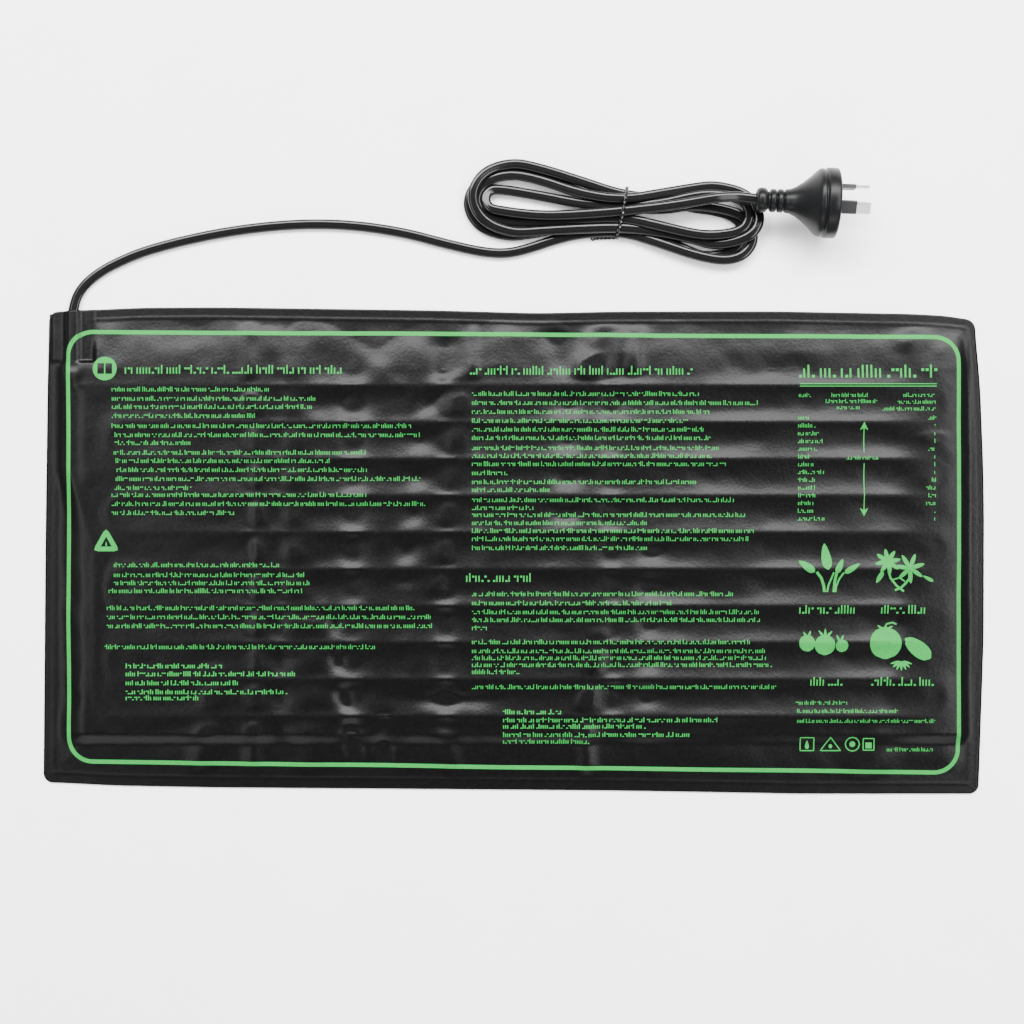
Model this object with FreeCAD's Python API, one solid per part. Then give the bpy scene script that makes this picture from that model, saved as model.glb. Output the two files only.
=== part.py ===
"""Seedling heat mat: a sealed film mat with its heating wire, a flat lead tied in a hank, and a plug.

Millimetres. The origin is the centre of the mat's underside. +X runs along the mat, +Y points at
the edge where the lead leaves it, and +Z is up.
"""
import FreeCAD
import Part
import math
import os

V = FreeCAD.Vector
UP = V(0, 0, 1)

# ---- the mat's envelope ----
MAT_LENGTH = 510.0
MAT_WIDTH = 260.0
MAT_CORNER_R = 5.0
FILM_T = 0.4
WELD_BAND = 7.0            # flat welded border, all round
WALL_RUN = 4.0             # how far the film leans in from the weld to the flat top
CAVITY_TOP = 4.3           # underside of the top film

# ---- the heating pad inside ----
PAD_X = (-233.0, 241.0)
PAD_Y = (-99.0, 99.0)
PAD_CORNER_R = 6.0
PAD_NOTCH = (-220.5, 60.0)  # the pad is cut away left of this X and above this Y, for the splices
FELT_T = 1.2
FOIL_T = 0.15
TAPE_T = 0.15
TAPE_WIDTH = 10.0
TAPE_X = (-143.0, -88.0, -37.0, 53.0)
COVER_T = 0.25
GAP = 0.05                 # clearance between pieces that only lie on each other

WIRE_D = 2.0
WIRE_RUNS = 10
WIRE_PITCH = 20.0
RUN_LEFT = -211.0          # where the straight runs turn
RUN_RIGHT = 225.5
RETURN_X = -228.0          # the wire's way back up the left side
RETURN_R = 6.0

# ---- lead, entry and splices ----
CORD_W = 5.5
CORD_T = 3.2
CORE_D = 2.0
CORE_SPREAD = 2.8
ENTRY_X = -240.4
ENTRY_BLOCK_X = (-254.0, -228.0)
ENTRY_BLOCK_Y = (102.5, 129.5)
ENTRY_BLOCK_TOP = 4.6
JACKET_END_Y = 98.5
CRIMP_LENGTH = 7.0
CRIMP_WALL = 0.15
SLEEVE_LENGTH = 11.0
SLEEVE_WALL = 0.2
CORD_Z = FILM_T + CORD_T / 2          # the lead's centre where it leaves the mat

# ---- the hank ----
HANK_H = 9.6
TIE_T = 1.6
TIE_W = 2.0
TIE_CENTRE = (58.9, 184.0)
TIE_LEAN = 11.4            # degrees that the tie leans from +Y towards +X
TIE_HALF = 13.4
TIE_TAIL = 15.0
RIDGE_START_X = 63.5
TAIL_RUN = 40.0            # plan length of the lead from the hank's ridge to the plug

# ---- the plug ----
PLUG_ENTRY = (129.8, 188.4)
PLUG_YAW = -2.5
PLUG_ROLL = 30.0
FLANGE_R = 18.75
FLANGE_S = 43.4            # from the strain relief's end to the pin face
BRIDGE_R = 14.5
BRIDGE_S = (36.6, 41.6)
PIN_W = 6.35
PIN_T = 1.6
PIN_LENGTH = 17.0
PIN_SLEEVE_LENGTH = 9.2
PIN_SLEEVE_T = 0.3
PIN_HALF_PITCH = 6.85
PIN_OFFSET = 5.6           # from the flange's centre to the line between the pins
PIN_SPLAY = 30.0

PRINT_T = 0.08
PRINT_WIDTH = 2.3
PRINT_INSET = 11.0
PRINT_CORNER_R = 13.0

# The lead's route on the surface, from the mat's edge to the hank.
LEAD_ROUTE = [
    (ENTRY_X - 0.15, 129.0), (-239.4, 136.3), (-235.6, 143.3), (-229.4, 149.3), (-219.5, 155.7),
    (-199.5, 164.3), (-162.0, 173.2), (-125.0, 177.9), (-93.0, 178.1), (-62.0, 174.0),
    (-36.0, 167.0), (-12.0, 161.3), (7.0, 163.2), (21.0, 167.6),
]
# The hank's outline, anticlockwise from the foot of the step where the lead joins it.
HANK_OUTLINE = [
    (22.2, 163.8), (36.0, 169.0), (49.0, 171.2), (59.0, 171.2), (69.0, 168.9), (90.5, 161.2),
    (113.5, 156.0), (128.0, 159.6), (132.6, 168.5), (136.3, 182.0), (125.0, 195.1),
    (103.0, 201.4), (80.0, 198.2), (61.0, 196.6), (41.5, 202.2), (19.0, 211.3), (0.5, 214.5),
    (-16.5, 210.0), (-25.7, 197.0), (-26.2, 183.0), (-14.8, 172.1), (4.0, 170.2), (19.8, 171.4),
]
# The tail's rise, as shares of TAIL_RUN and of the height between the hank's top and the plug.
TAIL_RISE = [(0.0, 0.0), (0.2, 0.015), (0.4, 0.22), (0.6, 0.6), (0.8, 0.92), (1.0, 1.0)]


def export(shape, node):
    """Write one sub-part and say what it is made of."""
    if not shape.isValid():
        print("INVALID", node)
    shape.exportStep("parts/%s.step" % node)
    print("%-20s solids %d  volume %.1f" % (node, len(shape.Solids), shape.Volume))


def box(x_range, y_range, z_range):
    size = [high - low for low, high in (x_range, y_range, z_range)]
    return Part.makeBox(size[0], size[1], size[2], V(x_range[0], y_range[0], z_range[0]))


def rounded_outline(x_range, y_range, radius, z):
    """A closed wire: a rectangle with round corners."""
    x0, x1 = x_range
    y0, y1 = y_range
    corners = [(x1, y0, -90), (x1, y1, 0), (x0, y1, 90), (x0, y0, 180)]
    arcs = []
    for x, y, start in corners:
        cx = x - math.copysign(radius, x - (x0 + x1) / 2)
        cy = y - math.copysign(radius, y - (y0 + y1) / 2)
        points = []
        for step in (0, 45, 90):
            angle = math.radians(start + step)
            points.append(V(cx + radius * math.cos(angle), cy + radius * math.sin(angle), z))
        arcs.append(points)
    edges = []
    for index, points in enumerate(arcs):
        edges.append(Part.Arc(*points).toShape())
        following = arcs[(index + 1) % 4]
        edges.append(Part.LineSegment(points[2], following[0]).toShape())
    return Part.Wire(edges)


def rounded_plate(x_range, y_range, radius, z_range):
    face = Part.Face(rounded_outline(x_range, y_range, radius, z_range[0]))
    return face.extrude(UP * (z_range[1] - z_range[0]))


def mat_outline(inset, z):
    half_x = MAT_LENGTH / 2 - inset
    half_y = MAT_WIDTH / 2 - inset
    return rounded_outline((-half_x, half_x), (-half_y, half_y), MAT_CORNER_R, z)


def path_edges(points):
    """Straight runs joined by tangent arcs, each as large as its two runs allow."""
    edges = []
    radii = []
    length = 0.0
    last = points[0]
    for before, corner, after in zip(points, points[1:], points[2:]):
        run_in = corner - before
        run_out = after - corner
        shorter = min(run_in.Length, run_out.Length)
        half_turn = run_in.getAngle(run_out) / 2
        way_in = V(run_in).normalize()
        way_out = V(run_out).normalize()
        reach = 0.45 * shorter
        radius = reach / math.tan(half_turn)
        start = corner - way_in * reach
        end = corner + way_out * reach
        towards = (way_out - way_in).normalize()
        middle = corner + towards * (radius / math.cos(half_turn) - radius)
        edges.append(Part.LineSegment(last, start).toShape())
        edges.append(Part.Arc(start, middle, end).toShape())
        radii.append(radius)
        last = end
    edges.append(Part.LineSegment(last, points[-1]).toShape())
    for edge in edges:
        length += edge.Length
    return edges, radii, length


def sweep(edges, profile, binormal=None):
    pipe = Part.BRepOffsetAPI.MakePipeShell(Part.Wire(edges))
    if binormal is None:
        pipe.setFrenetMode(True)
    else:
        pipe.setBiNormalMode(binormal)
    pipe.add(profile)
    pipe.build()
    pipe.makeSolid()
    return pipe.shape()


def circle(centre, normal, radius):
    return Part.Wire([Part.Circle(centre, normal, radius).toShape()])


def cord_profile(centre, across, thick_way):
    """The flat lead's section: two straight sides and two round edges."""
    flat = across * ((CORD_W - CORD_T) / 2)
    high = thick_way * (CORD_T / 2)
    out = across * (CORD_W / 2)
    a = centre + flat + high
    b = centre - flat + high
    c = centre - flat - high
    d = centre + flat - high
    edges = [Part.LineSegment(a, b).toShape(), Part.Arc(b, centre - out, c).toShape(),
             Part.LineSegment(c, d).toShape(), Part.Arc(d, centre + out, a).toShape()]
    return Part.Wire(edges)


def cord_tube(name, points, across, bend_axis):
    """The lead along a route whose turns are all about one axis, with its radii and volume."""
    edges, radii, length = path_edges(points)
    along = (points[1] - points[0]).normalize()
    profile = cord_profile(points[0], across, across.cross(along))
    solid = sweep(edges, profile, bend_axis)
    section = Part.Face(profile).Area
    print("%s radii %s" % (name, " ".join("%.1f" % radius for radius in radii)))
    print("%s length %.1f  volume / (section x length) %.4f"
          % (name, length, solid.Volume / (section * length)))
    return solid


def cord_lead():
    """The lead from the mat's edge to the hank's step, level all the way."""
    route = [V(x, y, CORD_Z) for x, y in LEAD_ROUTE]
    across = (route[1] - route[0]).normalize().cross(UP)
    tube = cord_tube("cord_lead", route, across, UP)
    return tube.cut(box((-MAT_LENGTH, 0), (0, MAT_WIDTH / 2), (0, CAVITY_TOP))).cut(cord_hank())


def cord_tail():
    """The lead from the hank's ridge up to the plug's strain relief."""
    across = plug_axis().cross(UP)
    tube = cord_tube("cord_tail", tail_route(), across, across)
    return tube.cut(cord_hank()).cut(plug_placed(plug_outer()))


def tube_between(start, way, length, inner_r, outer_r):
    outer = Part.makeCylinder(outer_r, length, start, way)
    return outer.cut(Part.makeCylinder(inner_r, length, start, way))


# ---- the mat ----

def bottom_film():
    return Part.Face(mat_outline(0, 0)).extrude(UP * FILM_T)


def entry_footprint():
    return box(ENTRY_BLOCK_X, (ENTRY_BLOCK_Y[0], MAT_WIDTH), (FILM_T, CAVITY_TOP + 2))


def top_film():
    """A shallow pan of film, welded down all round, open over the entry block and under the ink."""
    band = Part.Face(mat_outline(0, FILM_T)).extrude(UP * FILM_T)
    crown = Part.makeLoft([mat_outline(WELD_BAND, 2 * FILM_T),
                           mat_outline(WELD_BAND + WALL_RUN, CAVITY_TOP + FILM_T)], True, True)
    inside = Part.makeLoft([mat_outline(WELD_BAND + FILM_T, FILM_T),
                            mat_outline(WELD_BAND + WALL_RUN + FILM_T, CAVITY_TOP)], True, True)
    pan = band.fuse(crown).cut(inside).cut(entry_footprint())
    return pan.cut(printed_border()).removeSplitter()


def entry_block():
    """The films fused round the lead, with the lead's own way through."""
    block = rounded_plate(ENTRY_BLOCK_X, ENTRY_BLOCK_Y, 2.0, (FILM_T, ENTRY_BLOCK_TOP))
    top_edges = [edge for edge in block.Edges if edge.BoundBox.ZMin > ENTRY_BLOCK_TOP - 0.01]
    return block.makeChamfer(0.8, top_edges).cut(cord_root())


def cord_root():
    """The lead's jacket, from the mat's edge to where its cores part."""
    centre = V(ENTRY_X, MAT_WIDTH / 2, CORD_Z)
    face = Part.Face(cord_profile(centre, V(1, 0, 0), UP))
    return face.extrude(V(0, JACKET_END_Y - MAT_WIDTH / 2, 0))


def pad_layer(bottom, thickness):
    layer = rounded_plate(PAD_X, PAD_Y, PAD_CORNER_R, (bottom, bottom + thickness))
    notch = box((PAD_X[0] - 1, PAD_NOTCH[0]), (PAD_NOTCH[1], PAD_Y[1] + 1), (0, CAVITY_TOP))
    return layer.cut(notch)


FELT_Z = FILM_T
FOIL_Z = FELT_Z + FELT_T
WIRE_Z = FOIL_Z + FOIL_T + GAP + WIRE_D / 2
TAPE_Z = WIRE_Z + WIRE_D / 2 + GAP
COVER_Z = TAPE_Z + TAPE_T
FIRST_RUN_Y = WIRE_PITCH * (WIRE_RUNS - 1) / 2
LIVE_X = ENTRY_X - CORE_SPREAD / 2
NEUTRAL_X = ENTRY_X + CORE_SPREAD / 2
LIVE_CRIMP_Y = 92.0                  # the live splice lies along Y, below the lead
NEUTRAL_CRIMP_X = -230.0             # the neutral splice lies along X, in line with the first run


def heating_wire():
    """Ten runs in one length: from the neutral splice, and back up the left side to the live one."""
    bend = WIRE_PITCH / 2
    start = V(NEUTRAL_CRIMP_X, FIRST_RUN_Y, WIRE_Z)
    edges = []
    here = start
    for run in range(WIRE_RUNS):
        y = FIRST_RUN_Y - run * WIRE_PITCH
        rightwards = run % 2 == 0
        end = V(RUN_RIGHT if rightwards else RUN_LEFT, y, WIRE_Z)
        if run == WIRE_RUNS - 1:
            end = V(RETURN_X + RETURN_R, y, WIRE_Z)
        edges.append(Part.LineSegment(here, end).toShape())
        if run < WIRE_RUNS - 1:
            bulge = V(bend if rightwards else -bend, -bend, 0)
            here = end + V(0, -WIRE_PITCH, 0)
            edges.append(Part.Arc(end, end + bulge, here).toShape())
    edges += wire_return(end)
    return sweep(edges, circle(start, V(1, 0, 0), WIRE_D / 2), UP)


def wire_return(end):
    """From the last run round the corner, up the side, and over to the live splice."""
    corner = V(end.x, end.y + RETURN_R, WIRE_Z)
    slant = math.sqrt(0.5) * RETURN_R
    up = V(RETURN_X, corner.y, WIRE_Z)
    edges = [Part.Arc(end, corner + V(-slant, -slant, 0), up).toShape()]
    live_end = V(LIVE_X, LIVE_CRIMP_Y, WIRE_Z)
    route = [up, V(RETURN_X, 0.0, WIRE_Z), V(LIVE_X, 45.0, WIRE_Z), live_end]
    return edges + path_edges(route)[0]


def wire_tape(x):
    return box((x - TAPE_WIDTH / 2, x + TAPE_WIDTH / 2), (PAD_Y[0] + 2, PAD_Y[1] - 2),
               (TAPE_Z, TAPE_Z + TAPE_T))


def live_core():
    length = JACKET_END_Y - LIVE_CRIMP_Y
    return Part.makeCylinder(CORE_D / 2, length, V(LIVE_X, JACKET_END_Y, WIRE_Z), V(0, -1, 0))


def neutral_core():
    start = V(NEUTRAL_X, JACKET_END_Y, WIRE_Z)
    corner = V(NEUTRAL_X, FIRST_RUN_Y, WIRE_Z)
    end = V(NEUTRAL_CRIMP_X, FIRST_RUN_Y, WIRE_Z)
    return sweep(path_edges([start, corner, end])[0], circle(start, V(0, 1, 0), CORE_D / 2), UP)


def splice(centre, way, with_sleeve):
    """A crimp round the meeting ends, or the shrunk sleeve over it."""
    crimp_outer = CORE_D / 2 + GAP + CRIMP_WALL
    if with_sleeve:
        start = centre - way * (SLEEVE_LENGTH / 2)
        return tube_between(start, way, SLEEVE_LENGTH, crimp_outer + GAP,
                            crimp_outer + GAP + SLEEVE_WALL)
    start = centre - way * (CRIMP_LENGTH / 2)
    return tube_between(start, way, CRIMP_LENGTH, CORE_D / 2 + GAP, crimp_outer)


def printed_border():
    """The edge of the printed layer: a thin closed line round the top, flush with the film."""
    top = CAVITY_TOP + FILM_T
    half_x = MAT_LENGTH / 2 - PRINT_INSET
    half_y = MAT_WIDTH / 2 - PRINT_INSET
    outer = rounded_plate((-half_x, half_x), (-half_y, half_y), PRINT_CORNER_R,
                          (top - PRINT_T, top))
    inner_x = half_x - PRINT_WIDTH
    inner_y = half_y - PRINT_WIDTH
    inner = rounded_plate((-inner_x, inner_x), (-inner_y, inner_y), PRINT_CORNER_R - PRINT_WIDTH,
                          (top - PRINT_T, top))
    return outer.cut(inner).cut(entry_footprint())


# ---- the lead's hank and its tie ----

def tie_frame(shape):
    shape.rotate(V(0, 0, 0), UP, -TIE_LEAN)
    shape.translate(V(TIE_CENTRE[0], TIE_CENTRE[1], 0))
    return shape


def twist_tie():
    """A closed loop of twisted tie round the waist, with its twisted end along the surface."""
    bottom = 0.1
    outer_half = TIE_HALF + TIE_T
    top = HANK_H + 0.1 + TIE_T
    outer = box((-TIE_W / 2, TIE_W / 2), (-outer_half, outer_half), (bottom, top))
    outer = outer.makeFillet(1.5, [edge for edge in outer.Edges if abs(edge.tangentAt(0).x) > 0.9])
    inner = box((-TIE_W, TIE_W), (-TIE_HALF, TIE_HALF), (bottom + TIE_T, top - TIE_T))
    loop = tie_frame(outer.cut(inner))
    root = V(TIE_CENTRE[0], TIE_CENTRE[1], bottom + TIE_W / 2)
    lean = math.radians(TIE_LEAN)
    root -= V(math.sin(lean), math.cos(lean), 0) * (outer_half - TIE_T / 2)
    end = Part.makeCylinder(TIE_W / 2, TIE_TAIL, root, V(-1, 0.02, 0))
    return loop.fuse(end).removeSplitter()


def plug_axis():
    yaw = math.radians(PLUG_YAW)
    return V(math.cos(yaw), math.sin(yaw), 0)


def plug_entry():
    return V(PLUG_ENTRY[0], PLUG_ENTRY[1], FLANGE_R + GAP)


def tail_route():
    """The lead's last stretch: off the hank's top and up to the plug, in one upright plane."""
    low = plug_entry() - plug_axis() * TAIL_RUN
    low.z = HANK_H + CORD_T / 2 + GAP
    rise = plug_entry().z - low.z
    return [low + plug_axis() * (TAIL_RUN * along) + UP * (rise * up) for along, up in TAIL_RISE]


def cord_hank():
    """The hank's outer shape: waisted at the tie, with the tail's ridge on its top."""
    points = [V(x, y, 0) for x, y in HANK_OUTLINE]
    curve = Part.BSplineCurve()
    curve.interpolate(points)
    step = Part.LineSegment(points[-1], points[0])
    body = Part.Face(Part.Wire([curve.toShape(), step.toShape()])).extrude(UP * HANK_H)
    end = tail_route()[0]
    run = end.x - RIDGE_START_X
    ridge_top = HANK_H + CORD_T + 2 * GAP
    ridge = box((-run, 0), (-CORD_W / 2 - GAP, CORD_W / 2 + GAP), (HANK_H - 1, ridge_top))
    ridge.rotate(V(0, 0, 0), UP, PLUG_YAW)
    ridge.translate(V(end.x, end.y, 0))
    room = tie_frame(box((-TIE_W / 2 - GAP, TIE_W / 2 + GAP), (-40, 40), (-1, TIE_T + 0.2)))
    return body.fuse(ridge).removeSplitter().cut(room).cut(twist_tie())


# ---- the plug, drawn along its own axis and then laid down ----

def plug_placed(shape):
    """From the drawing frame (axis +X, pins' middle towards +Z) to where the plug lies."""
    shape.rotate(V(0, 0, 0), V(1, 0, 0), -PLUG_ROLL)
    shape.rotate(V(0, 0, 0), UP, PLUG_YAW)
    shape.translate(plug_entry())
    return shape


def plug_outer():
    """Strain relief with a bulb and two rings, a neck that flares, and the round flange."""
    profile = [
        (0.0, 0.0), (0.0, 5.4), (1.3, 6.6), (4.6, 6.7), (6.0, 5.9), (6.3, 4.9), (7.3, 4.9),
        (7.6, 6.1), (10.6, 6.1), (10.8, 4.9), (11.3, 4.9), (11.5, 6.2), (14.4, 6.2),
        (14.6, 5.2), (15.1, 5.2), (15.3, 6.3),
    ]
    flare = [(15.3, 6.3), (18.0, 6.6), (21.0, 7.9), (25.0, 10.6), (29.0, 14.0), (33.0, 18.0)]
    rim = [
        (33.0, 18.0), (35.4, 18.2), (35.6, 17.5), (36.2, 17.5), (36.5, 18.3), (37.3, FLANGE_R),
        (42.4, FLANGE_R), (FLANGE_S, FLANGE_R - 1.0), (FLANGE_S, 0.0), (0.0, 0.0),
    ]
    edges = [Part.LineSegment(V(a[0], 0, a[1]), V(b[0], 0, b[1])).toShape()
             for a, b in zip(profile, profile[1:])]
    curve = Part.BSplineCurve()
    curve.interpolate([V(s, 0, r) for s, r in flare])
    edges.append(curve.toShape())
    edges += [Part.LineSegment(V(a[0], 0, a[1]), V(b[0], 0, b[1])).toShape()
              for a, b in zip(rim, rim[1:])]
    return Part.Face(Part.Wire(edges)).revolve(V(0, 0, 0), V(1, 0, 0), 360)


def plug_bridge():
    start = V(BRIDGE_S[0], 0, 0)
    bridge = Part.makeCylinder(BRIDGE_R, BRIDGE_S[1] - BRIDGE_S[0], start, V(1, 0, 0))
    for side in (-1, 1):
        bridge = bridge.cut(pin(side))
    return bridge


def pin_frame(shape, side):
    """side is -1 for the live pin and 1 for the neutral one."""
    shape.rotate(V(0, 0, 0), V(1, 0, 0), side * PIN_SPLAY)
    shape.translate(V(0, side * PIN_HALF_PITCH, PIN_OFFSET))
    return shape


def pin(side):
    """A flat blade with a chamfered tip, through the bridge and out of the pin face."""
    back = BRIDGE_S[0] - 3.0
    blade = box((back, FLANGE_S + PIN_LENGTH), (-PIN_T / 2, PIN_T / 2), (-PIN_W / 2, PIN_W / 2))
    tip = [edge for edge in blade.Edges
           if edge.BoundBox.XMin > FLANGE_S + PIN_LENGTH - 0.01]
    return pin_frame(blade.makeChamfer(0.5, tip), side)


def pin_sleeve(side):
    grow = PIN_SLEEVE_T
    outer = box((FLANGE_S, FLANGE_S + PIN_SLEEVE_LENGTH), (-PIN_T / 2 - grow, PIN_T / 2 + grow),
                (-PIN_W / 2 - grow, PIN_W / 2 + grow))
    return pin_frame(outer, side).cut(pin(side))


PIN_CRIMP_S = (29.2, BRIDGE_S[0] - 3.0)


def pin_crimp(side):
    length = PIN_CRIMP_S[1] - PIN_CRIMP_S[0]
    crimp = tube_between(V(PIN_CRIMP_S[0], 0, 0), V(1, 0, 0), length,
                         CORE_D / 2 + GAP, CORE_D / 2 + GAP + 0.4)
    crimp.translate(V(0, side * PIN_HALF_PITCH, PIN_OFFSET))
    return crimp


def plug_core(side):
    """One core, from the jacket's end out to its pin."""
    inner = V(0.6, side * CORE_SPREAD / 2, 0)
    outer = V(PIN_CRIMP_S[1] - 1.5, side * PIN_HALF_PITCH, PIN_OFFSET)
    route = [inner, inner + V(11.0, 0, 0), outer - V(5.5, 0, 0), outer]
    return sweep(path_edges(route)[0], circle(inner, V(1, 0, 0), CORE_D / 2))


def plug_body(inner_pieces):
    body = plug_outer()
    for piece in inner_pieces:
        body = body.cut(piece)
    return body


def build():
    os.makedirs("parts", exist_ok=True)
    export(bottom_film(), "bottom_film")
    export(top_film(), "top_film")
    export(entry_block(), "entry_block")
    export(cord_root(), "cord_root")
    export(pad_layer(FELT_Z, FELT_T), "base_felt")
    export(pad_layer(FOIL_Z, FOIL_T), "spreader_foil")
    export(heating_wire(), "heating_wire")
    for number, x in enumerate(TAPE_X, 1):
        export(wire_tape(x), "wire_tape_%d" % number)
    export(pad_layer(COVER_Z, COVER_T), "cover_fleece")
    export(live_core(), "live_core")
    export(neutral_core(), "neutral_core")
    places = {
        "live": (V(LIVE_X, LIVE_CRIMP_Y, WIRE_Z), V(0, -1, 0)),
        "neutral": (V(NEUTRAL_CRIMP_X, FIRST_RUN_Y, WIRE_Z), V(1, 0, 0)),
    }
    for name, (centre, way) in places.items():
        export(splice(centre, way, False), "%s_crimp" % name)
        export(splice(centre, way, True), "%s_sleeve" % name)
    export(printed_border(), "printed_border")

    export(cord_lead(), "cord_lead")
    export(cord_hank(), "cord_hank")
    export(cord_tail(), "cord_tail")
    export(twist_tie(), "twist_tie")

    inner_pieces = {"plug_bridge": plug_bridge()}
    for name, side in (("live", -1), ("neutral", 1)):
        inner_pieces["plug_pin_%s" % name] = pin(side)
        inner_pieces["pin_crimp_%s" % name] = pin_crimp(side)
        inner_pieces["plug_core_%s" % name] = plug_core(side)
    export(plug_placed(plug_body(inner_pieces.values())), "plug_body")
    for name, side in (("live", -1), ("neutral", 1)):
        export(plug_placed(pin_sleeve(side)), "pin_sleeve_%s" % name)
    for name, piece in inner_pieces.items():
        export(plug_placed(piece), name)


build()
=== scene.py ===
"""The looks of the seedling heat mat: film, print, lead, tie and plug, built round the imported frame.

Metres. Lengths that are easier to read in millimetres are multiplied by MM.
"""

import math

import bmesh
import bpy
import numpy as np
from mathutils import Matrix, Vector


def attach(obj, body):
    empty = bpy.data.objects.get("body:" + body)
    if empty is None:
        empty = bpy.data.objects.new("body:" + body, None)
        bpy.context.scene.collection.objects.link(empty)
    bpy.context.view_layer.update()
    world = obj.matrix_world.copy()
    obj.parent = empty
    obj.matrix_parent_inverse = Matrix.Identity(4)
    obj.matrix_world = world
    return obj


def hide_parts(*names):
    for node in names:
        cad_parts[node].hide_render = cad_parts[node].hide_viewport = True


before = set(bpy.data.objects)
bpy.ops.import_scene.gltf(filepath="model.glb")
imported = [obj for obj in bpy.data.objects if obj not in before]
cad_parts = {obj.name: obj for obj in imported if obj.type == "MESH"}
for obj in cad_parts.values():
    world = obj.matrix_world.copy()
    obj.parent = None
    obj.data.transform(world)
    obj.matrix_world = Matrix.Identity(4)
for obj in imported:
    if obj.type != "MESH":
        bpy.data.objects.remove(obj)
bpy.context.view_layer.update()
MM = 0.001
UP = Vector((0, 0, 1))

# ---- camera ----
CAMERA_HEIGHT = 1.0
VIEW_CENTRE = (-1.0 * MM, 21.0 * MM)
VIEW_WIDTH = 559.6 * MM
SENSOR_MM = 36.0

# ---- the mat's plan, in millimetres: how its edges wander, as (along, across) places ----
EDGE_TOP = [(-255, 129.6), (-248, 130.6), (-204, 132.6), (-161, 132.8), (-117, 132.2), (-40, 131.1),
            (14, 129.6), (58, 130.5), (145, 130.6), (178, 130.0), (222, 129.2), (244, 127.8),
            (255, 125.2)]
EDGE_BOTTOM = [(-255, -126.4), (-215, -128.4), (-161, -129.4), (-62, -130.1), (58, -131.1),
               (124, -132.2), (156, -132.8), (255, -132.8)]
EDGE_LEFT = [(-130, -256.8), (-71, -256.3), (5, -255.7), (87, -254.6), (130, -253.7)]
EDGE_RIGHT = [(-130, 253.6), (-115, 254.2), (-71, 255.7), (-44, 256.6), (25, 256.8), (52, 256.3),
              (93, 254.7), (124, 252.0), (130, 251.6)]
HALF_X = 255.0
HALF_Y = 130.0
FILM_CORNER_R = 5.0
FILM_T = 0.4

# ---- the film's relief, in millimetres ----
WELD_Z = 2 * FILM_T
WELD_IN = 5.6              # the weld's inner line stands this far in from the film's edge
WELD_BEAD = 0.25           # height of the bead along that line
WELD_BEAD_HALF = 0.55
MARGIN_RISE = 0.75         # the film's rise over the empty margin round the pad
PAD_RISE = 1.15            # its further rise over the pad, where it hangs lowest
MAX_TAUT = 1.75            # how much higher the taut film runs between the wires
CREST_Z = 4.65             # the film over a wire
CREST_REACH = 9.6          # how far from a wire its ridge dies away
TAPED_REACH = 3.0          # how much less far under a strip of tape
CREST_ROUND = 0.9          # how far the ridge over a wire is rounded at its top
CREST_SLACK = 0.3          # how far above the crests a fold may stand
PAD_TOP = 1.75             # top of the spreader foil
CLEARANCE = 0.05           # between the film and the layers under it
LOBE_APART = 1.15          # how far each lobe over the flat lead stands from its middle
LOBE_HALF = 2.7
LOBE_START = (96, 101)     # where the lobes rise out of the film, up the mat
GROOVE_DEPTH = 0.10        # the groove between the lobes
GROOVE_HALF = 0.5
COVER_T = 0.2
TAPE_T = 0.1
PAD_X = (-233.0, 241.0)
PAD_Y = (-99.0, 99.0)
PAD_NOTCH = (-220.5, 60.0)
RUNS_Y = [90.0 - 20.0 * run for run in range(10)]
RUN_LEFT = -211.0
RUN_RIGHT = 225.5
RUN_TURN_R = 10.0
RETURN_X = -228.0
TAPE_X = (-143.0, -88.0, -37.0, 53.0)
TAPE_HALF = 5.0
ENTRY_X = -240.4           # the lead's middle line at the mat's edge
CORE_APART = 1.4           # how far each core's line stands from it
PLATE_X = (-253.6, -228.0)
PLATE_Y = (102.5, 129.0)
PLATE_Z = 2.0
LEAD_TOP_Z = 4.15

# How deep the film hangs between the wires, from 0, taut, to 1, along the mat.
HANG = [(-240, 0.10), (-190, 0.12), (-160, 0.20), (-120, 0.28), (-60, 0.24), (-10, 0.30), (40, 0.42),
        (75, 0.62), (110, 0.85), (240, 0.90)]
# Columns where the film is drawn down further between the wires: x, half width, how much.
DRAWN = [(-143, 4, 0.35), (-127, 5, 0.35), (-105, 6, 0.25), (-88, 9, 0.75), (-62, 6, 0.20),
         (-37, 8, 0.65), (-20, 5, 0.20), (20, 8, 0.15), (53, 7, 0.55)]
# How far the film takes to come down from the pad's left, right and lower sides.
LEFT_SLOPE = 16.0
RIGHT_SLOPE = 9.0
FOOT_SLOPE = 8.0
# Along the top it falls from the pad to the weld in one long slope, and is tucked down more steeply
# in these columns: x, half width, how much.
TENT_LONG = 27.0
TENT_SHORT = 12.0
TUCKED = [(-143, 6, 0.6), (-127, 5, 0.5), (-75, 17, 1.0), (-22, 6, 0.7), (45, 12, 1.0), (70, 5, 0.8)]
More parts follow.
